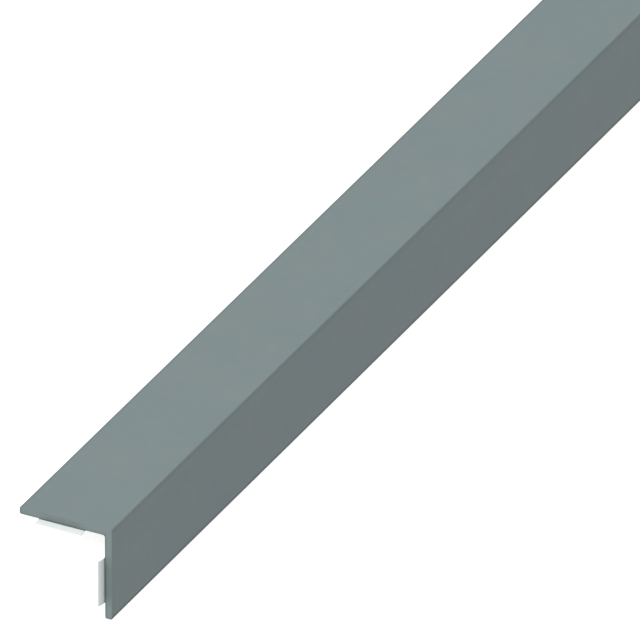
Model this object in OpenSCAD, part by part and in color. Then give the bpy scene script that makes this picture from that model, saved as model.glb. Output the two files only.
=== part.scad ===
// Self-adhesive PVC angle: an extruded equal-leg corner profile with a strip of
// double-sided tape on the inside of each leg, still under its release liner.
// The bar lies along Y on the free edges of its legs, outer corner up.

/* [Angle profile] */
// Outside width of each leg
leg_w = 20; // [17:0.5:60]
// Wall thickness of both legs
wall_t = 1.5; // [1:0.1:3]
// Length that the profile is sold in
stock_l = 1000; // [250:50:3000]
// Radius along the outer corner
outer_corner_r = 0.3; // [0.1:0.05:1]
// Radius of the fillet in the inner corner
inner_corner_r = 0.5; // [0.1:0.1:1.5]
// Radius on both long edges of each leg's free end
free_edge_r = 0.25; // [0.1:0.05:0.45]

/* [Adhesive tape] */
// Width of the tape on each leg
tape_w = 10; // [4:0.5:13]
// Thickness of the adhesive film
tape_t = 0.12; // [0.05:0.01:1]
// Distance from the free end of the left leg to its tape
left_tape_margin = 4.2; // [0.5:0.1:7]
// Distance from the free end of the right leg to its tape
right_tape_margin = 3.4; // [0.5:0.1:7]

/* [Release liner] */
// Thickness of the liner paper
liner_t = 0.1; // [0.05:0.01:0.3]
// Length of liner left over at each end of the bar, to peel it by
liner_overhang = 1.8; // [0:0.1:20]

/* [Hidden] */

pvc_grey = "#84908f";
tape_smoke = "#4a4c49";
liner_white = "#eef1f0";

// Facets of the small radii
$fn = 32;

// Half of the right angle between the legs: how far each leg slopes at rest
leg_slope = 45;
// Turn that points both legs of the section down and leaves the outer corner on top
rest_turn = 180 + leg_slope;
// Height of the sharp outer corner above the surface that the free edges stand on
rest_h = (leg_w + wall_t - 2 * free_edge_r) * sin(leg_slope) + free_edge_r;

// Stands a bar that was extruded from its section on the two free edges
module at_rest() {
    translate([0, 0, rest_h])
        rotate([90, 0, 0])
            rotate([0, 0, rest_turn])
                children();
}

// The right leg is the left one mirrored about the bisector of the angle
module on_right_leg() {
    mirror([1, -1, 0]) children();
}

// What lies between a square corner at the origin and the arc that rounds it
module corner_spandrel(r) {
    difference() {
        square(r);
        translate([r, r]) circle(r);
    }
}

// One leg along X, its outer face on the X axis, with a rounded free end
module leg_section() {
    end_x = leg_w - free_edge_r;
    square([end_x, wall_t]);
    translate([end_x, free_edge_r]) square([free_edge_r, wall_t - 2 * free_edge_r]);
    for (y = [free_edge_r, wall_t - free_edge_r])
        translate([end_x, y]) circle(free_edge_r);
}

// The L section: outer corner at the origin, legs along +X and +Y
module angle_section() {
    difference() {
        union() {
            leg_section();
            mirror([1, -1]) leg_section();
            translate([wall_t, wall_t]) corner_spandrel(inner_corner_r);
        }
        corner_spandrel(outer_corner_r);
    }
}

module angle_profile() {
    color(pvc_grey)
        at_rest()
            linear_extrude(stock_l, center = true)
                angle_section();
}

// A flat strip along the inside of the left leg, its near face lift above the leg
module leg_strip(margin, lift, thickness, length) {
    translate([leg_w - margin - tape_w, wall_t + lift, 0])
        linear_extrude(length, center = true)
            square([tape_w, thickness]);
}

// The adhesive film ends flush with the profile
module adhesive_tape(margin) {
    leg_strip(margin, lift = 0, thickness = tape_t, length = stock_l);
}

// The liner covers the film and runs past both of its ends
module release_liner(margin) {
    leg_strip(margin, lift = tape_t, thickness = liner_t, length = stock_l + 2 * liner_overhang);
}

module left_adhesive_tape() {
    color(tape_smoke) at_rest() adhesive_tape(left_tape_margin);
}

module left_release_liner() {
    color(liner_white) at_rest() release_liner(left_tape_margin);
}

module right_adhesive_tape() {
    color(tape_smoke) at_rest() on_right_leg() adhesive_tape(right_tape_margin);
}

module right_release_liner() {
    color(liner_white) at_rest() on_right_leg() release_liner(right_tape_margin);
}

angle_profile();
left_adhesive_tape();
left_release_liner();
right_adhesive_tape();
right_release_liner();
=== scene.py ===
"""Looks of a self-adhesive PVC angle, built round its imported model.

The bar lies along Y on the free edges of its legs, outer corner up. The profile and the two
release liners are modelled here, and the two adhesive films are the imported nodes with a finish
of their own. All lengths are in metres.
"""

import logging
import math
from collections.abc import Callable
from dataclasses import dataclass, field
from enum import Enum, auto
from functools import cached_property, partial, reduce

import bmesh
import bpy
from mathutils import Matrix, Vector


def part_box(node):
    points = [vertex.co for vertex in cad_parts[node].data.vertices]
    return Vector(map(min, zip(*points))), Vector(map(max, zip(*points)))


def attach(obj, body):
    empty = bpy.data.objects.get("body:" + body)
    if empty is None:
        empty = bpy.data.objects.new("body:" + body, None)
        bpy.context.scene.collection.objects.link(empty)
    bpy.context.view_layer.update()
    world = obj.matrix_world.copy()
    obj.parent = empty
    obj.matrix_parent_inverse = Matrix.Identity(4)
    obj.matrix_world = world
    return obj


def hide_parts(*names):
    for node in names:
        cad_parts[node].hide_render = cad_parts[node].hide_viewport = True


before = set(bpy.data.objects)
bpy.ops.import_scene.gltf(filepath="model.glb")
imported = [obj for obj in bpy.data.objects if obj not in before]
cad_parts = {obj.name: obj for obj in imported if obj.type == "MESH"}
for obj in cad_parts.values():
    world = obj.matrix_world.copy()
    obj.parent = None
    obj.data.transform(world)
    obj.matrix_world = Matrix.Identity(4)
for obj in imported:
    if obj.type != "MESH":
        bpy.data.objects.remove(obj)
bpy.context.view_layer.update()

LOG = logging.getLogger("pvc_angle")
BODY = "root"
MM = 0.001
ROOT_2 = math.sqrt(2.0)

# Each leg slopes by half of the right angle between them when the bar rests on its free edges.
LEG_SLOPE = math.radians(45.0)

Point = tuple[float, float, float]
Rgb = tuple[float, float, float]
Range = tuple[float, float]
Socket = bpy.types.NodeSocket
Number = float | Socket
Colour = Rgb | Socket
Value = float | Point | Rgb | Socket

UNIT: Range = (0.0, 1.0)
WHITE: Rgb = (1.0, 1.0, 1.0)


class Leg(Enum):
    """The legs of the angle, as seen along the length from the near end."""

    LEFT = "left"
    RIGHT = "right"

    @property
    def other(self) -> "Leg":
        """The leg that this one meets."""
        return Leg.RIGHT if self is Leg.LEFT else Leg.LEFT

    @property
    def film_node(self) -> str:
        """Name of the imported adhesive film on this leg."""
        return f"{self.value}_adhesive_tape"

    @property
    def liner_node(self) -> str:
        """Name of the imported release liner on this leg."""
        return f"{self.value}_release_liner"

    @property
    def liner_name(self) -> str:
        """Name of the modelled liner on this leg."""
        return f"{self.value}_liner"


class End(Enum):
    """The ends of the bar, by the sign of their place along Y."""

    NEAR = -1.0
    FAR = 1.0


class Slot(Enum):
    """Names of material slots for the PVC and for the liner paper."""

    PVC = "pvc_grey"
    LINER = "liner_paper"


class Element(Enum):
    """Kinds of mesh element: Blender's select modes, and bmesh's names of their lists."""

    VERT = "verts"
    EDGE = "edges"
    FACE = "faces"


def clear_selection() -> None:
    """Deselects every object, so that an operator reaches only the piece in hand."""
    bpy.ops.object.select_all(action="DESELECT")


def make_active(piece: bpy.types.Object) -> None:
    """Selects one piece alone and makes it the active object.

    Args:
        piece: The piece.
    """
    clear_selection()
    piece.select_set(True)
    bpy.context.view_layer.objects.active = piece


def add_block(name: str, low: Point, high: Point) -> bpy.types.Object:
    """Adds a cube stretched between two corners.

    Args:
        name: Name of the piece and of its mesh.
        low: Lowest corner.
        high: Highest corner.

    Returns:
        The block, with its place and size in its mesh.
    """
    clear_selection()
    centre = (Vector(low) + Vector(high)) / 2
    bpy.ops.mesh.primitive_cube_add(size=1.0, calc_uvs=False, location=centre)
    block = bpy.context.object
    block.name = block.data.name = name
    block.scale = Vector(high) - Vector(low)
    bpy.ops.object.transform_apply(location=True, rotation=True, scale=True)
    return block


def apply_place(piece: bpy.types.Object, place: Matrix) -> None:
    """Moves a piece and writes the move into its mesh.

    Args:
        piece: The piece, at the origin.
        place: Where it goes.
    """
    make_active(piece)
    piece.matrix_world = place
    bpy.ops.object.transform_apply(location=True, rotation=True, scale=True)


@dataclass
class EditMode:
    """A piece held in edit mode, with one kind of element selectable."""

    piece: bpy.types.Object
    kind: Element

    def __enter__(self) -> "EditMode":
        """Opens the piece, selected alone.

        Returns:
            This edit.
        """
        make_active(self.piece)
        bpy.ops.object.mode_set(mode="EDIT")
        bpy.ops.mesh.select_mode(type=self.kind.name)
        return self

    def __exit__(self, *error: object) -> None:
        """Goes back to object mode."""
        bpy.ops.object.mode_set(mode="OBJECT")

    def pick_all(self) -> None:
        """Selects the whole mesh."""
        bpy.ops.mesh.select_all(action="SELECT")

    def pick(self, wanted: Callable[[Vector], bool]) -> None:
        """Selects the elements whose corners all pass a test, and nothing else.

        Args:
            wanted: Test of a corner's place.
        """
        bpy.ops.mesh.select_all(action="DESELECT")
        mesh = bmesh.from_edit_mesh(self.piece.data)
        for element in getattr(mesh, self.kind.value):
            corners = (element,) if self.kind is Element.VERT else element.verts
            if all(wanted(corner.co) for corner in corners):
                element.select = True
        mesh.select_flush_mode()
        bmesh.update_edit_mesh(self.piece.data)

    def cut(self, place: Point, normal: Point) -> None:
        """Cuts the whole mesh along a plane."""
        self.pick_all()
        bpy.ops.mesh.bisect(plane_co=place, plane_no=normal)


def close_mesh(piece: bpy.types.Object, merge: float = 0.0001 * MM) -> None:
    """Merges doubled points of a piece and turns its faces outwards.

    Args:
        piece: The piece, in object mode.
        merge: Distance within which points become one.
    """
    with EditMode(piece, Element.VERT) as edit:
        edit.pick_all()
        bpy.ops.mesh.remove_doubles(threshold=merge)
        bpy.ops.mesh.normals_make_consistent(inside=False)


def middle_of(node: str) -> Vector:
    """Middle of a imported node's box."""
    low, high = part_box(node)
    return (low + high) / 2


def report(piece: bpy.types.Object, node: str) -> None:
    """Logs a piece's faces and how far its box is from that of the node it stands for.

    Args:
        piece: The finished piece.
        node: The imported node.
    """
    axes = list(zip(*(vertex.co for vertex in piece.data.vertices)))
    low, high = Vector([min(axis) for axis in axes]), Vector([max(axis) for axis in axes])
    node_low, node_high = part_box(node)
    off = max((low - node_low).length, (high - node_high).length)
    faces = len(piece.data.polygons)
    LOG.info("%s: %d faces, box within %.3f mm of %s", piece.name, faces, off / MM, node)


class Op(Enum):
    """What a Math node works out, by Blender's names."""

    ADD = auto()
    MULTIPLY = auto()
    MAXIMUM = auto()
    MINIMUM = auto()
    GREATER_THAN = auto()
    ABSOLUTE = auto()


class Blend(Enum):
    """How a Mix node mixes two colours, by Blender's names."""

    MIX = auto()
    MULTIPLY = auto()


@dataclass(frozen=True)
class Grain:
    """How a noise is made up: its octaves, and the weight of each finer one."""

    octaves: float
    weight: float


@dataclass(frozen=True)
class Stretch:
    """A pattern drawn out along the bar: its features to the metre, across the length and along it."""

    across: float
    along: float


@dataclass(frozen=True)
class Relief:
    """A bump: its real depth, and how much of it shows."""

    depth: float
    strength: float


@dataclass(frozen=True)
class NodeSheet:
    """A shader node tree, with short ways to add nodes and join them."""

    tree: bpy.types.NodeTree

    def add(self, kind: str, inputs: dict[str | int, Value] | None = None,
            **settings: object) -> bpy.types.Node:
        """Adds a node.

        Args:
            kind: Blender's name of the node's type, without ShaderNode.
            inputs: What its inputs get, by name or by number.
            **settings: Properties of the node.

        Returns:
            The new node.
        """
        node = self.tree.nodes.new(kind if kind.startswith("NodeGroup") else f"ShaderNode{kind}")
        for name, setting in settings.items():
            setattr(node, name, setting)
        for key, value in (inputs or {}).items():
            self.feed(node.inputs[key], value)
        return node

    def feed(self, socket: Socket, value: Value) -> None:
        """Links an output to an input, or sets a plain value on it.

        Args:
            socket: The input.
            value: An output, a number, a vector or an opaque colour.
        """
        if isinstance(value, Socket):
            self.tree.links.new(value, socket)
        else:
            socket.default_value = (*value, 1.0) if socket.type == "RGBA" else value

    def math(self, operation: Op, first: Number, second: Number = 0.0) -> Socket:
        """Adds a Math node. Its second value goes unused where the operation takes one."""
        return self.add("Math", {0: first, 1: second}, operation=operation.name).outputs[0]

    def product(self, *values: Number) -> Socket:
        """Multiplies values together."""
        return reduce(partial(self.math, Op.MULTIPLY), values)

    def strongest(self, *values: Number) -> Socket:
        """The greatest of some values."""
        return reduce(partial(self.math, Op.MAXIMUM), values)

    def weigh(self, first: Socket, second: Socket, share: float) -> Socket:
        """Adds two values by weight: the second has the share, and the first has the rest."""
        return self.math(Op.ADD, self.product(first, 1.0 - share), self.product(second, share))

    def span(self, value: Socket, source: Range, target: Range) -> Socket:
        """Maps one range of a value onto another, and holds it there."""
        limits = dict(zip(("From Min", "From Max", "To Min", "To Max"), source + target))
        return self.add("MapRange", {"Value": value, **limits}, clamp=True).outputs[0]

    def noise(self, vector: Socket, scale: Number, grain: Grain) -> Socket:
        """Adds a Noise Texture with so many features to the metre, about 0.5 on average."""
        inputs = {"Vector": vector, "Scale": scale, "Detail": grain.octaves, "Roughness": grain.weight}
        return self.add("TexNoise", inputs).outputs[0]

    def split(self, vector: Socket) -> dict[str, Socket]:
        """The X, Y and Z of a vector, by name."""
        return {part.name: part for part in self.add("SeparateXYZ", {0: vector}).outputs}

    def mix(self, share: Number, first: Colour, second: Colour, blend: Blend = Blend.MIX) -> Socket:
        """Mixes two colours.

        Args:
            share: How much of the second colour, from 0 to 1.
            first: First colour or output.
            second: Second colour or output.
            blend: The way to mix.

        Returns:
            The mixed colour.
        """
        node = self.add("Mix", data_type="RGBA", blend_type=blend.name)
        used = (socket for socket in node.inputs if socket.enabled)
        for socket, value in zip(used, (share, first, second)):
            self.feed(socket, value)
        return next(socket for socket in node.outputs if socket.enabled)


@dataclass
class FinishSheet:
    """A new material with a Principled BSDF, and the nodes that a finish joins to it."""

    name: str
    material: bpy.types.Material = field(init=False)
    nodes: NodeSheet = field(init=False)
    shader: bpy.types.Node = field(init=False)

    def __post_init__(self) -> None:
        """Makes the material and keeps its nodes and its shader."""
        self.material = bpy.data.materials.new(self.name)
        self.material.use_nodes = True
        self.nodes = NodeSheet(self.material.node_tree)
        self.shader = self.material.node_tree.nodes["Principled BSDF"]

    @cached_property
    def place(self) -> Socket:
        """Object coordinates."""
        return self.nodes.add("TexCoord").outputs["Object"]

    def feed(self, name: str, value: Value) -> None:
        """Gives one of the shader's inputs an output or a plain value."""
        self.nodes.feed(self.shader.inputs[name], value)

    def emboss(self, height: Socket, relief: Relief) -> None:
        """Sends a height, from 0 to 1, to the shader's normal."""
        inputs = {"Height": height, "Distance": relief.depth, "Strength": relief.strength}
        self.feed("Normal", self.nodes.add("Bump", inputs).outputs[0])


class Effect(Enum):
    """Effects that several finishes share, each a shader node group."""

    MOTTLE = "mottle"
    RUN_LINES = "run_lines"


@dataclass
class EffectShelf:
    """Builds each shared node group once and places it in materials."""

    broad: Grain = Grain(octaves=2.0, weight=0.5)
    fine: Grain = Grain(octaves=3.0, weight=0.6)
    fine_times: float = 6.3
    cloud_range: Range = (0.7, 1.3)
    streak: Grain = Grain(octaves=4.0, weight=0.65)
    streak_range: Range = (0.3, 0.7)
    made: dict[Effect, bpy.types.NodeTree] = field(default_factory=dict)

    def mottle(self, sheet: FinishSheet, scale: float) -> Socket:
        """Soft clouds of two sizes, from 0 to 1, with so many to the metre."""
        return self._place(sheet, Effect.MOTTLE, {"Scale": scale})

    def run_lines(self, sheet: FinishSheet, stretch: Stretch) -> Socket:
        """Fine lines along the length, as a die or a paper machine leaves them, from 0 to 1."""
        return self._place(sheet, Effect.RUN_LINES, {"Across": stretch.across, "Along": stretch.along})

    def _place(self, sheet: FinishSheet, effect: Effect, values: dict[str, float]) -> Socket:
        """Adds a shared effect to a material.

        Args:
            sheet: The material in hand.
            effect: Which effect.
            values: The group's number inputs, by name.

        Returns:
            The effect's output.
        """
        if effect not in self.made:
            makers = {Effect.MOTTLE: self._build_mottle, Effect.RUN_LINES: self._build_run_lines}
            self.made[effect] = makers[effect]()
        inputs = {"Vector": sheet.place, **values}
        return sheet.nodes.add("Group", inputs, node_tree=self.made[effect]).outputs[0]

    @staticmethod
    def _open(effect: Effect, inputs: tuple[str, ...],
              output: str) -> tuple[NodeSheet, dict[str, Socket], Socket]:
        """Begins a node group, with its sockets.

        Args:
            effect: Which effect it makes.
            inputs: Names of its number inputs, beside the vector.
            output: Name of its output.

        Returns:
            The group's sheet, its inputs by name, and the socket that takes the result.
        """
        tree = bpy.data.node_groups.new(effect.value, "ShaderNodeTree")
        tree.interface.new_socket("Vector", in_out="INPUT", socket_type="NodeSocketVector")
        for name in inputs:
            tree.interface.new_socket(name, in_out="INPUT", socket_type="NodeSocketFloat")
        tree.interface.new_socket(output, in_out="OUTPUT", socket_type="NodeSocketFloat")
        sheet = NodeSheet(tree)
        given = {socket.name: socket for socket in sheet.add("NodeGroupInput").outputs}
        return sheet, given, sheet.add("NodeGroupOutput").inputs[output]

    def _build_mottle(self) -> bpy.types.NodeTree:
        """Builds the group of the soft clouds.

        Returns:
            The group.
        """
        sheet, given, result = self._open(Effect.MOTTLE, ("Scale",), "Mottle")
        broad = sheet.noise(given["Vector"], given["Scale"], self.broad)
        fine = sheet.noise(given["Vector"], sheet.product(given["Scale"], self.fine_times), self.fine)
        sheet.feed(result, sheet.span(sheet.math(Op.ADD, broad, fine), self.cloud_range, UNIT))
        return sheet.tree

    def _build_run_lines(self) -> bpy.types.NodeTree:
        """Builds the group of the fine lines.

        Returns:
            The group.
        """
        sheet, given, result = self._open(Effect.RUN_LINES, ("Across", "Along"), "Lines")
        scales = {"X": given["Across"], "Y": given["Along"], "Z": given["Across"]}
        stretch = sheet.add("CombineXYZ", scales).outputs[0]
        drawn_out = sheet.add("VectorMath", {0: given["Vector"], 1: stretch}, operation="MULTIPLY")
        lines = sheet.noise(drawn_out.outputs[0], 1.0, self.streak)
        sheet.feed(result, sheet.span(lines, self.streak_range, UNIT))
        return sheet.tree


@dataclass(frozen=True)
class AngleSection:
    """The L section: its radii and the film's thickness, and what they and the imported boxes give."""

    width: float
    height: float
    outer_corner_r: float = 0.3 * MM
    inner_corner_r: float = 0.5 * MM
    free_edge_r: float = 0.25 * MM
    film_t: float = 0.12 * MM

    @classmethod
    def of_node(cls, node: str) -> "AngleSection":
        """Reads the section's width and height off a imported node."""
        low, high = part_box(node)
        return cls(width=high.x - low.x, height=high.z - low.z)

    @property
    def leg_w(self) -> float:
        """Outside width of a leg."""
        return (self.width / 2 - self.free_edge_r) * ROOT_2 + 2 * self.free_edge_r

    @property
    def rest_h(self) -> float:
        """Height of the sharp outer corner above the floor."""
        return self.height + self.outer_corner_r * (ROOT_2 - 1)

    @property
    def wall_t(self) -> float:
        """Wall thickness of a leg."""
        return (self.rest_h - self.free_edge_r) * ROOT_2 + 2 * self.free_edge_r - self.leg_w

    @property
    def lean(self) -> Matrix:
        """Takes a square bar, left leg along -X and right leg along -Z, to its rest on the floor."""
        return Matrix.Translation((0.0, 0.0, self.rest_h)) @ Matrix.Rotation(-LEG_SLOPE, 4, "Y")

    def tape_span(self, leg: Leg) -> Range:
        """Where a leg's tape lies on it.

        Args:
            leg: The leg.

        Returns:
            Where the tape begins and ends, measured along the leg from the sharp outer corner.
        """
        low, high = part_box(leg.film_node)
        side = -1.0 if leg is Leg.LEFT else 1.0
        near, far = sorted((side * low.x, side * high.x))
        begin = (self.rest_h - high.z + near) / ROOT_2 + self.film_t / 2
        end = (self.rest_h - low.z + far) / ROOT_2 - self.film_t / 2
        return begin, end


@dataclass(frozen=True)
class DarkBand:
    """A darkened band: its strength, its width, and how much of the width it fades over."""

    strength: float
    width: float
    fade: float

    def at_end(self, nodes: NodeSheet, place: Socket, reach: float) -> Socket:
        """The band at the end of a stretch, where place is 0 at its start and negative from there."""
        edge = self.width - reach
        return nodes.span(place, (edge, edge - self.fade), (0.0, self.strength))


@dataclass(frozen=True)
class LegShades:
    """Painted shade on one leg: a band along its free edge, and its strength on its sawn end beside the
    tape, at the inner and at the outer face.
    """

    edge_band: DarkBand
    tape_shade: Range


@dataclass(frozen=True)
class DrawnPvc:
    """Satin grey rigid PVC with the lines of the die and saw marks, and with painted shade.

    The pigment is a little uneven in depth and in tint. Painted shade darkens the free edges,
    and a faint darker band runs below the outer corner on the right leg. The sawn ends are
    rougher and have a dark rim, and beside each tape they carry painted shade from its tab.
    Scales are features to the metre.
    """

    section: AngleSection
    half_length: float
    pale: Rgb = (0.1910, 0.2370, 0.2370)
    deep: Rgb = (0.1770, 0.2210, 0.2210)
    warm: Rgb = (1.050, 1.0, 0.978)
    cool: Rgb = (0.950, 1.0, 1.028)
    # Painted shade along the free edges; the faint band below the outer corner uses it too.
    edge_dark: Rgb = (0.1150, 0.1330, 0.1290)
    sawn: Rgb = (0.1900, 0.2300, 0.2275)
    # Painted shade on the sawn ends beside the tapes; the dark rim uses it too.
    sawn_dark: Rgb = (0.0800, 0.1010, 0.0990)
    cloud_scale: float = 55.0
    tint_scale: float = 85.0
    die_lines: Stretch = Stretch(across=1500.0, along=5.0)
    line_share: float = 0.45
    # Painted shade on each leg: a band along the free edge, and its strength on the sawn end beside the
    # tape (inner face, outer face).
    left: LegShades = LegShades(DarkBand(strength=0.40, width=0.70 * MM, fade=0.25 * MM), tape_shade=(0.42, 0.15))
    right: LegShades = LegShades(DarkBand(strength=0.75, width=0.94 * MM, fade=0.25 * MM), tape_shade=(0.48, 0.36))
    # A faint darker band on the right leg, just below the outer corner.
    corner_dark: DarkBand = DarkBand(strength=0.20, width=1.20 * MM, fade=0.60 * MM)
    rim: DarkBand = DarkBand(strength=0.50, width=0.40 * MM, fade=0.20 * MM)
    # Painted contact shade at the inner face, where the tab meets the sawn end.
    contact_shade: DarkBand = DarkBand(strength=0.50, width=0.50 * MM, fade=0.50 * MM)
    # How far past a tape's edges the painted shade starts, and how far inside them it is full.
    shade_reach: float = 1.12 * MM
    shade_build: float = 2.08 * MM
    sawn_depth: float = 0.02 * MM
    rough: Range = (0.44, 0.54)
    sawn_rougher: float = 0.14
    grain: Grain = Grain(octaves=2.0, weight=0.5)
    grain_scale: float = 5200.0
    grain_share: float = 0.3
    saw_scale: float = 900.0
    saw_wander: float = 3.0
    saw_height: float = 0.8
    relief: Relief = Relief(depth=0.01 * MM, strength=0.5)
    ior: float = 1.53
    gloss: float = 0.15

    def material(self, effects: EffectShelf) -> bpy.types.Material:
        """Builds the material.

        Args:
            effects: Where shared effects come from.

        Returns:
            The finished material.
        """
        sheet = FinishSheet("drawn_pvc")
        nodes = sheet.nodes
        lines = effects.run_lines(sheet, self.die_lines)
        ends = self._ends(sheet)
        along = self._along_legs(sheet)
        # Painted shade along the free edges, with the faint darker band below the outer corner.
        skin = nodes.mix(self._edge_darkening(nodes, along), self._pigment(sheet, effects, lines), self.edge_dark)
        # Sawn ends: painted shade beside each tape, and the dark rim.
        end_dark = nodes.strongest(self._shade_by_tapes(nodes, along), self._rim(nodes, along))
        cut = nodes.mix(end_dark, self.sawn, self.sawn_dark)
        satin = nodes.span(lines, UNIT, self.rough)
        sheet.feed("Base Color", nodes.mix(ends, skin, cut))
        sheet.feed("Roughness", nodes.math(Op.ADD, satin, nodes.product(ends, self.sawn_rougher)))
        sheet.emboss(self._height(sheet, lines, ends), self.relief)
        sheet.feed("IOR", self.ior)
        sheet.feed("Specular IOR Level", self.gloss)
        return sheet.material

    def _leg_shades(self, leg: Leg) -> LegShades:
        """The painted shade on a leg."""
        return self.left if leg is Leg.LEFT else self.right

    def _ends(self, sheet: FinishSheet) -> Socket:
        """1 on the sawn ends, and 0 elsewhere."""
        from_middle = sheet.nodes.math(Op.ABSOLUTE, sheet.nodes.split(sheet.place)["Y"])
        return sheet.nodes.math(Op.GREATER_THAN, from_middle, self.half_length - self.sawn_depth)

    def _along_legs(self, sheet: FinishSheet) -> dict[Leg, Socket]:
        """Place along each leg, which is also the place across the wall of the other one.

        Args:
            sheet: The material in hand.

        Returns:
            The place by leg, 0 at the sharp outer corner and negative from there.
        """
        lean = {"Location": (0.0, 0.0, self.section.rest_h), "Rotation": (0.0, -LEG_SLOPE, 0.0)}
        square = sheet.nodes.add("Mapping", {"Vector": sheet.place, **lean}, vector_type="TEXTURE")
        parts = sheet.nodes.split(square.outputs[0])
        return {Leg.LEFT: parts["X"], Leg.RIGHT: parts["Z"]}

    def _pigment(self, sheet: FinishSheet, effects: EffectShelf, lines: Socket) -> Socket:
        """The grey of the skin, uneven in depth and in tint.

        Args:
            sheet: The material in hand.
            effects: Where shared effects come from.
            lines: The die's lines.

        Returns:
            The colour.
        """
        clouds = effects.mottle(sheet, self.cloud_scale)
        tints = effects.mottle(sheet, self.tint_scale)
        depth = sheet.nodes.weigh(clouds, lines, self.line_share)
        plain = sheet.nodes.mix(depth, self.deep, self.pale)
        return sheet.nodes.mix(1.0, plain, sheet.nodes.mix(tints, self.warm, self.cool), Blend.MULTIPLY)

    def _edge_darkening(self, nodes: NodeSheet, along: dict[Leg, Socket]) -> Socket:
        """Painted shade along the free edges, and the faint darker band below the outer corner, from 0
        to 1.
        """
        bands = [self._leg_shades(leg).edge_band.at_end(nodes, along[leg], self.section.leg_w) for leg in Leg]
        return nodes.strongest(self._corner_band(nodes, along), *bands)

    def _corner_band(self, nodes: NodeSheet, along: dict[Leg, Socket]) -> Socket:
        """A faint band on the right leg, from the outer corner down.

        Args:
            nodes: The material's nodes.
            along: Place along each leg.

        Returns:
            How dark the band is, and 0 off it.
        """
        edge_band, down = self.corner_dark, along[Leg.RIGHT]
        rise = nodes.span(down, (0.0, -edge_band.fade), (0.0, edge_band.strength))
        fall = nodes.span(down, (-edge_band.width, -edge_band.fade), UNIT)
        outer_side = nodes.math(Op.GREATER_THAN, along[Leg.LEFT], -self.section.outer_corner_r)
        return nodes.product(outer_side, rise, fall)

    def _shade_by_tapes(self, nodes: NodeSheet, along: dict[Leg, Socket]) -> Socket:
        """Painted shade from the tabs on the cut end of each wall, from 0 to 1."""
        return nodes.strongest(*(self._shade_by_tape(nodes, along, leg) for leg in Leg))

    def _shade_by_tape(self, nodes: NodeSheet, along: dict[Leg, Socket], leg: Leg) -> Socket:
        """Painted shade from a leg's tab on its sawn end: about as long as its tape, and strongest at
        the inner face.

        Args:
            nodes: The material's nodes.
            along: Place along each leg.
            leg: The leg.

        Returns:
            The painted shade, from 0 to 1.
        """
        begin, end = self.section.tape_span(leg)
        wall, across = self.section.wall_t, along[leg.other]
        begun = nodes.span(along[leg], (self.shade_reach - begin, -self.shade_build - begin), UNIT)
        ended = nodes.span(along[leg], (-self.shade_reach - end, self.shade_build - end), UNIT)
        broad = nodes.span(across, (-wall, 0.0), self._leg_shades(leg).tape_shade)
        spread = nodes.math(Op.ADD, broad, self.contact_shade.at_end(nodes, across, wall))
        on_wall = nodes.math(Op.GREATER_THAN, across, -wall - self.contact_shade.width)
        return nodes.product(spread, on_wall, begun, ended)

    def _rim(self, nodes: NodeSheet, along: dict[Leg, Socket]) -> Socket:
        """How dark the cut is along its inner faces and its free ends.

        Args:
            nodes: The material's nodes.
            along: Place along each leg.

        Returns:
            The darkening, from 0 to 1.
        """
        across = nodes.math(Op.MAXIMUM, along[Leg.LEFT], along[Leg.RIGHT])
        down = nodes.math(Op.MINIMUM, along[Leg.LEFT], along[Leg.RIGHT])
        at_inner = self.rim.at_end(nodes, across, self.section.wall_t)
        at_tip = self.rim.at_end(nodes, down, self.section.leg_w)
        return nodes.strongest(at_inner, at_tip)

    def _height(self, sheet: FinishSheet, lines: Socket, ends: Socket) -> Socket:
        """Relief of the drawn skin, with saw marks on the ends.

        Args:
            sheet: The material in hand.
            lines: The die's lines.
            ends: Mask of the sawn ends.

        Returns:
            The height.
        """
        nodes = sheet.nodes
        grain = nodes.noise(sheet.place, self.grain_scale, self.grain)
        marks = {"Vector": sheet.place, "Scale": self.saw_scale, "Distortion": self.saw_wander}
        saw = nodes.add("TexWave", marks, wave_type="BANDS", bands_direction="DIAGONAL").outputs["Fac"]
        skin = nodes.weigh(lines, grain, self.grain_share)
        return nodes.math(Op.ADD, skin, nodes.product(ends, saw, self.saw_height))


@dataclass(frozen=True)
class LinerPaper:
    """Smooth white paper with a silicone coat. Scales are features to the metre."""

    pale: Rgb = (0.825, 0.86, 0.852)
    deep: Rgb = (0.79, 0.825, 0.818)
    rough: Range = (0.34, 0.48)
    cloud_scale: float = 420.0
    fibres: Stretch = Stretch(across=4200.0, along=900.0)
    fibre_share: float = 0.4
    relief: Relief = Relief(depth=0.006 * MM, strength=0.4)

    def material(self, effects: EffectShelf) -> bpy.types.Material:
        """Builds the material.

        Args:
            effects: Where shared effects come from.

        Returns:
            The finished material.
        """
        sheet = FinishSheet("liner_paper")
        clouds = effects.mottle(sheet, self.cloud_scale)
        fibres = effects.run_lines(sheet, self.fibres)
        tone = sheet.nodes.weigh(clouds, fibres, self.fibre_share)
        sheet.feed("Base Color", sheet.nodes.mix(tone, self.deep, self.pale))
        sheet.feed("Roughness", sheet.nodes.span(clouds, UNIT, self.rough))
        sheet.emboss(fibres, self.relief)
        return sheet.material


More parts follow.
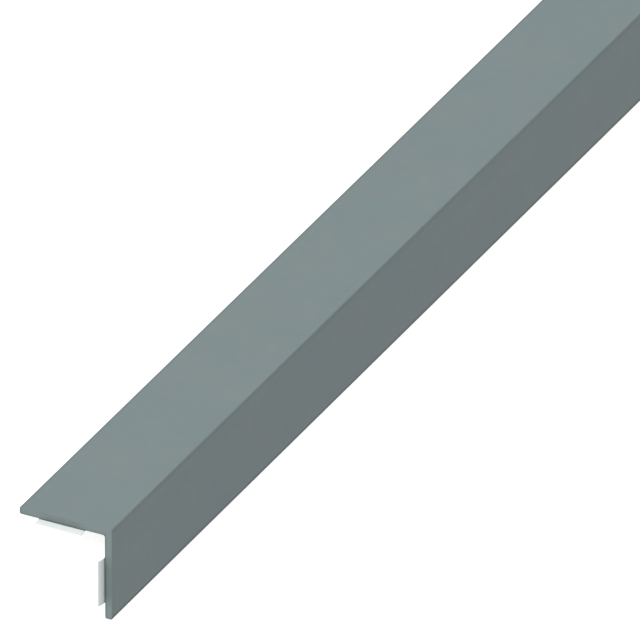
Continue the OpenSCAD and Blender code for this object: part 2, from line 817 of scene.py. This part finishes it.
@dataclass(frozen=True)
class AdhesiveFilm:
    """Clear acrylic adhesive, coloured near black and glossy as painted contact shade in the thin line
    between the leg and the paper.
    """

    # Near black: painted contact shade along the film's edge between the leg and the paper.
    pale: Rgb = (0.085, 0.088, 0.081)
    deep: Rgb = (0.058, 0.061, 0.056)
    rough: Range = (0.16, 0.30)
    cloud_scale: float = 700.0
    relief: Relief = Relief(depth=0.02 * MM, strength=0.5)
    ior: float = 1.47

    def material(self, effects: EffectShelf) -> bpy.types.Material:
        """Builds the material.

        Args:
            effects: Where shared effects come from.

        Returns:
            The finished material.
        """
        sheet = FinishSheet("adhesive_film")
        clouds = effects.mottle(sheet, self.cloud_scale)
        sheet.feed("Base Color", sheet.nodes.mix(clouds, self.deep, self.pale))
        sheet.feed("Roughness", sheet.nodes.span(clouds, UNIT, self.rough))
        sheet.emboss(clouds, self.relief)
        sheet.feed("IOR", self.ior)
        return sheet.material


class Side(Enum):
    """The sides of the bar, each a patch of its map."""

    OUTER = "outer skin"
    INNER = "inner skin"
    LEFT_FREE = "free end of the left leg"
    RIGHT_FREE = "free end of the right leg"
    SAWN = "sawn end"


@dataclass(frozen=True)
class UnfoldedBar:
    """A square map of the profile: its long sides as strips, above both sawn ends at a larger scale."""

    section: AngleSection
    length: float
    name: str = "OFBake"
    ends_share: float = 0.3
    margin: float = 0.005

    def lay(self, piece: bpy.types.Object) -> None:
        """Gives a square bar the map.

        Args:
            piece: The bar, left leg along -X and right leg along -Z.
        """
        mesh = piece.data
        layer = mesh.uv_layers.new(name=self.name)
        for face in mesh.polygons:
            side = self._side(face.normal, face.center)
            for corner in face.loop_indices:
                place = mesh.vertices[mesh.loops[corner].vertex_index].co
                layer.uv[corner].vector = self._spot(side, place)

    def _side(self, normal: Vector, centre: Vector) -> Side:
        """Which side of the bar a face is on.

        Args:
            normal: The face's normal.
            centre: The face's middle.

        Returns:
            The side.
        """
        half = self.section.leg_w / 2
        if abs(normal.y) > math.hypot(normal.x, normal.z):
            return Side.SAWN
        if abs(normal.x) > abs(normal.z) and centre.x < -half:
            return Side.LEFT_FREE
        if abs(normal.z) > abs(normal.x) and centre.z < -half:
            return Side.RIGHT_FREE
        return Side.OUTER if normal.x + normal.z > 0.0 else Side.INNER

    def _spot(self, side: Side, place: Vector) -> tuple[float, float]:
        """Where a point of a side lies on the map, from 0 to 1 both ways.

        Args:
            side: The side that the point is on.
            place: The point, on the square bar.

        Returns:
            The place across the map and up it.
        """
        leg, wall, gap = self.section.leg_w, self.section.wall_t, self.margin
        if side is Side.SAWN:
            scale = (self.ends_share - 2 * gap) / leg
            start = gap if place.y < 0.0 else self.ends_share + gap
            return start + (leg + place.x) * scale, gap + (leg + place.z) * scale
        strips = {
            Side.OUTER: (0.0, leg + place.x - place.z),
            Side.INNER: (2 * leg, leg + place.x - place.z),
            Side.LEFT_FREE: (4 * leg, -place.z),
            Side.RIGHT_FREE: (4 * leg + wall, -place.x),
        }
        first, across = strips[side]
        scale = (1.0 - (len(strips) + 1) * gap) / (4 * leg + 2 * wall)
        gaps = (list(strips).index(side) + 1) * gap
        up = self.ends_share + (1.0 - self.ends_share - gap) * (place.y / self.length + 0.5)
        return (first + across) * scale + gaps, up


@dataclass
class AngleProfile:
    """The drawn PVC angle, sawn to length.

    A corner that lies within the tolerance of an edge or of a plane counts as being on it.
    """

    section: AngleSection
    length: float
    node: str = "angle_profile"
    name: str = "pvc_angle"
    arc_steps: int = 8
    sawn_break: float = 0.05 * MM
    break_steps: int = 2
    round_arc: float = 0.5
    tolerance: float = 0.01 * MM
    flat_within: float = math.radians(1.0)
    flat_weight: int = 100

    def build(self) -> bpy.types.Object:
        """Models the profile.

        Returns:
            The piece, at rest in the frame.
        """
        piece = self._square_bar()
        self._round_edges(piece)
        self._break_sawn_edges(piece)
        close_mesh(piece)
        UnfoldedBar(self.section, self.length).lay(piece)
        apply_place(piece, self.section.lean)
        self._shade(piece)
        return piece

    def dress(self, piece: bpy.types.Object, finish: bpy.types.Material) -> None:
        """Gives the piece its finish and its place in the frame.

        Args:
            piece: The modelled profile.
            finish: Its material.
        """
        piece.data.materials.append(finish)
        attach(piece, BODY)
        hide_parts(self.node)

    def _square_bar(self) -> bpy.types.Object:
        """Draws the left leg as a flat bar and extrudes the right leg down from its edge.

        Returns:
            The bar, left leg along -X and right leg along -Z, with sharp edges.
        """
        leg, wall, half = self.section.leg_w, self.section.wall_t, self.length / 2
        piece = add_block(self.name, (-leg, -half, -wall), (0.0, half, 0.0))
        left, low = -wall - self.tolerance, -wall + self.tolerance
        with EditMode(piece, Element.FACE) as edit:
            edit.cut(place=(-wall, 0.0, 0.0), normal=(1.0, 0.0, 0.0))
            edit.pick(lambda corner: corner.x > left and corner.z < low)
            drop = {"value": (0.0, 0.0, wall - leg)}
            bpy.ops.mesh.extrude_region_move(TRANSFORM_OT_translate=drop)
            edit.pick_all()
            bpy.ops.mesh.dissolve_limited(angle_limit=self.flat_within)
        return piece

    def _bevel(self, width: float, steps: int) -> None:
        """Rounds the selected edges to an arc."""
        bpy.ops.mesh.bevel(offset=width, segments=steps, profile=self.round_arc, affect="EDGES")

    def _round_edges(self, piece: bpy.types.Object) -> None:
        """Rounds the outer corner, fillets the inner one and rounds both edges of each free end.

        Args:
            piece: The square bar.
        """
        section, leg, wall = self.section, self.section.leg_w, self.section.wall_t
        radii = {(0.0, 0.0): section.outer_corner_r, (-wall, -wall): section.inner_corner_r}
        for free_edge in ((-leg, 0.0), (-leg, -wall), (0.0, -leg), (-wall, -leg)):
            radii[free_edge] = section.free_edge_r
        with EditMode(piece, Element.EDGE) as edit:
            for (x, z), radius in radii.items():
                edit.pick(lambda end, x=x, z=z: math.hypot(end.x - x, end.z - z) < self.tolerance)
                self._bevel(radius, self.arc_steps)

    def _break_sawn_edges(self, piece: bpy.types.Object) -> None:
        """Takes the sharpness off the edges round both sawn ends.

        Args:
            piece: The bar with its long edges rounded.
        """
        start = self.length / 2 - self.tolerance
        with EditMode(piece, Element.EDGE) as edit:
            for end in End:
                edit.pick(lambda corner, sign=end.value: corner.y * sign > start)
                self._bevel(self.sawn_break, self.break_steps)

    def _shade(self, piece: bpy.types.Object) -> None:
        """Smooths the arcs and keeps the flats flat.

        Args:
            piece: The finished mesh.
        """
        make_active(piece)
        bpy.ops.object.shade_smooth()
        even = piece.modifiers.new("even_flats", "WEIGHTED_NORMAL")
        even.weight = self.flat_weight
        bpy.ops.object.modifier_apply(modifier=even.name)


@dataclass
class ReleaseLiner:
    """A liner strip that covers the adhesive film and stands past both ends of the profile."""

    section: AngleSection
    bar_length: float
    paper_t: float = 0.1 * MM
    tab_steps: int = 6
    near_lift: float = 0.06 * MM
    far_lift: float = 0.40 * MM
    crease: float = math.radians(20.0)

    def build(self) -> bpy.types.Object:
        """Models the left liner, whose tabs lift off a little at the end of the film.

        Returns:
            The piece, at rest in the frame.
        """
        piece = self._square_strip()
        self._lift_tabs(piece)
        close_mesh(piece)
        apply_place(piece, self.section.lean)
        make_active(piece)
        bpy.ops.object.shade_smooth_by_angle(angle=self.crease)
        return piece

    def copy_to_right(self, piece: bpy.types.Object) -> bpy.types.Object:
        """Copies the left liner to the right leg by half a turn about the upright axis and a shift.

        Args:
            piece: The left liner.

        Returns:
            The right liner, with a mesh of its own.
        """
        make_active(piece)
        bpy.ops.object.duplicate(linked=False)
        twin = bpy.context.object
        twin.name = twin.data.name = Leg.RIGHT.liner_name
        turn = Matrix.Rotation(math.pi, 4, "Z")
        shift = middle_of(Leg.RIGHT.liner_node) - turn @ middle_of(Leg.LEFT.liner_node)
        apply_place(twin, Matrix.Translation(shift) @ turn)
        return twin

    def dress(self, piece: bpy.types.Object, leg: Leg, finish: bpy.types.Material) -> None:
        """Gives a liner its finish and its place in the frame.

        Args:
            piece: The modelled liner.
            leg: The leg that it is on.
            finish: Its material.
        """
        piece.data.materials.append(finish)
        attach(piece, BODY)
        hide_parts(leg.liner_node)

    def _square_strip(self) -> bpy.types.Object:
        """Draws the strip under the level left leg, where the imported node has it.

        Returns:
            The strip, along the bar and level.
        """
        low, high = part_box(Leg.LEFT.liner_node)
        width = (high.x - low.x) * ROOT_2 - self.paper_t
        below_corner = (self.section.rest_h - high.z) * ROOT_2
        from_middle = -high.x * ROOT_2
        start = (below_corner + from_middle + self.paper_t) / 2
        under = below_corner - start
        first = (-start - width, low.y, -under - self.paper_t)
        last = (-start, high.y, -under)
        return add_block(Leg.LEFT.liner_name, first, last)

    def _lift_tabs(self, piece: bpy.types.Object) -> None:
        """Bends the tabs at both ends off the line of the film.

        Args:
            piece: The level strip.
        """
        tab_length = max(vertex.co.y for vertex in piece.data.vertices) - self.bar_length / 2
        with EditMode(piece, Element.VERT) as edit:
            for end, lift in ((End.NEAR, self.near_lift), (End.FAR, self.far_lift)):
                self._lift_tab(edit, end, lift, tab_length / self.tab_steps)

    def _lift_tab(self, edit: EditMode, end: End, lift: float, step: float) -> None:
        """Cuts a tab into rings and bends it in a shallow curve, with a level ring before it.

        Args:
            edit: The strip, held open.
            end: The end that the tab is at.
            lift: How far its tip comes off.
            step: Distance between its rings.
        """
        start = self.bar_length / 2
        for ring in range(-1, self.tab_steps):
            edit.cut(place=(0.0, end.value * (start + ring * step), 0.0), normal=(0.0, 1.0, 0.0))
        drop = 2.0 * lift / (self.tab_steps * (self.tab_steps + 1))
        for ring in range(self.tab_steps):
            inside = start + (ring + 0.5) * step
            edit.pick(lambda corner, inside=inside: corner.y * end.value > inside)
            bpy.ops.transform.translate(value=(0.0, 0.0, -drop * (ring + 1)))


@dataclass(frozen=True)
class FilmPair:
    """The adhesive films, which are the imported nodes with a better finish."""

    finish: bpy.types.Material

    def dress(self) -> list[bpy.types.Object]:
        """Puts the finish in the slots of both films.

        Returns:
            The films.
        """
        films = [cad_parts[leg.film_node] for leg in Leg]
        for film in films:
            for slot in film.material_slots:
                slot.material = self.finish
        return films


@dataclass(frozen=True)
class PhotoCamera:
    """A long lens in place of the photograph's parallel view, fitted to the edges seen there.

    The angles are those of a bar with its left leg level, and the camera leans with the bar.
    """

    section: AngleSection
    near_y: float
    name: str = "photo_camera"
    azimuth: float = math.radians(27.11)
    elevation: float = math.radians(30.0)
    half_view: float = math.radians(0.605)
    distance: float = 5.831
    corner_to_middle: tuple[float, float] = (40.09 * MM, 40.52 * MM)
    clip: Range = (0.1, 100.0)

    def build(self) -> None:
        """Adds the camera and makes it the scene's."""
        right, up, back = self._axes()
        across, rise = self.corner_to_middle
        corner = Vector((0.0, self.near_y, self.section.rest_h))
        place = corner + right * across + up * rise + back * self.distance
        data = bpy.data.cameras.new(self.name)
        data.lens = data.sensor_width / 2 / math.tan(self.half_view)
        data.clip_start, data.clip_end = self.clip
        camera = bpy.data.objects.new(self.name, data)
        camera.matrix_world = Matrix.Translation(place) @ Matrix((right, up, back)).transposed().to_4x4()
        bpy.context.scene.collection.objects.link(camera)
        bpy.context.scene.camera = camera

    def _axes(self) -> tuple[Vector, Vector, Vector]:
        """Works out how the camera stands.

        Returns:
            Its right, up and backward directions, in the frame.
        """
        lean = self.section.lean.to_3x3()
        sin_turn, cos_turn = math.sin(self.azimuth), math.cos(self.azimuth)
        sin_tilt, cos_tilt = math.sin(self.elevation), math.cos(self.elevation)
        right = lean @ Vector((cos_turn, sin_turn, 0.0))
        up = lean @ Vector((-sin_turn * sin_tilt, cos_turn * sin_tilt, cos_tilt))
        return right, up, right.cross(up)


@dataclass(frozen=True)
class Softbox:
    """A large square lamp aimed at the bar."""

    name: str
    towards: Point
    distance: float
    side: float
    power: float

    def build(self, target: Vector) -> None:
        """Adds the lamp.

        Args:
            target: The point that it is aimed at.
        """
        data = bpy.data.lights.new(self.name, "AREA")
        data.shape = "SQUARE"
        data.size = self.side
        data.energy = self.power
        lamp = bpy.data.objects.new(self.name, data)
        away = Vector(self.towards).normalized()
        lamp.location = target + away * self.distance
        lamp.rotation_euler = away.to_track_quat("Z", "Y").to_euler()
        lamp.visible_camera = False
        bpy.context.scene.collection.objects.link(lamp)


@dataclass(frozen=True)
class Studio:
    """A white floor and backdrop, an even sky and two soft lamps."""

    target: Vector
    floor_name: str = "studio_floor"
    floor_side: float = 30.0
    floor_colour: Rgb = (0.82, 0.82, 0.82)
    floor_rough: float = 0.9
    glow: float = 0.80
    sky: Rgb = (0.443, 0.455, 0.471)
    key: Softbox = Softbox("key_lamp", towards=(-0.5, -0.707, 0.5), distance=9.0, side=6.6, power=708.0)
    fill: Softbox = Softbox("fill_lamp", towards=(0.6, -0.2, 0.77), distance=9.0, side=7.8, power=14.0)

    def build(self) -> None:
        """Adds the floor, the sky and the lamps."""
        self._floor()
        self._sky()
        for lamp in (self.key, self.fill):
            lamp.build(self.target)
        bpy.context.scene.view_settings.view_transform = "Standard"

    @staticmethod
    def _seen_directly(nodes: NodeSheet) -> Socket:
        """Tells what the camera sees from what only lights the bar.

        Args:
            nodes: The nodes of the floor or of the sky.

        Returns:
            1 where the camera sees the thing itself, or in a mirror or through glass.
        """
        rays = ("Is Camera Ray", "Is Glossy Ray", "Is Transmission Ray")
        path = nodes.add("LightPath").outputs
        return nodes.strongest(*(path[ray] for ray in rays))

    def _floor(self) -> None:
        """A matt white floor that is mostly white by itself, so that only deep shade shows on it."""
        clear_selection()
        bpy.ops.mesh.primitive_plane_add(size=self.floor_side, location=(0.0, 0.0, 0.0))
        floor = bpy.context.object
        floor.name = self.floor_name
        sheet = FinishSheet(self.floor_name)
        sheet.feed("Base Color", self.floor_colour)
        sheet.feed("Roughness", self.floor_rough)
        sheet.feed("Specular IOR Level", 0.0)
        sheet.feed("Emission Color", WHITE)
        sheet.feed("Emission Strength", sheet.nodes.product(self._seen_directly(sheet.nodes), self.glow))
        floor.data.materials.append(sheet.material)

    def _sky(self) -> None:
        """Even grey light from all round, white where it is looked at."""
        world = bpy.data.worlds.new("studio_sky")
        world.use_nodes = True
        nodes = NodeSheet(world.node_tree)
        colour = nodes.mix(self._seen_directly(nodes), self.sky, WHITE)
        nodes.feed(world.node_tree.nodes["Background"].inputs["Color"], colour)
        bpy.context.scene.world = world


def main() -> None:
    """Builds the camera, the pieces with their finishes, and the studio, and reports each piece."""
    logging.basicConfig(level=logging.INFO, format="%(name)s: %(message)s")
    section = AngleSection.of_node(AngleProfile.node)
    low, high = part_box(AngleProfile.node)
    length = high.y - low.y
    PhotoCamera(section, low.y).build()

    effects = EffectShelf()
    profile = AngleProfile(section, length)
    bar = profile.build()
    profile.dress(bar, DrawnPvc(section, length / 2).material(effects))
    report(bar, profile.node)

    liner = ReleaseLiner(section, length)
    paper = LinerPaper().material(effects)
    left = liner.build()
    liners = {Leg.LEFT: left, Leg.RIGHT: liner.copy_to_right(left)}
    for leg, piece in liners.items():
        liner.dress(piece, leg, paper)
        report(piece, leg.liner_node)

    for film in FilmPair(AdhesiveFilm().material(effects)).dress():
        LOG.info("%s: packed node, new finish", film.name)

    Studio(middle_of(AngleProfile.node)).build()


if __name__ == "__main__":
    main()
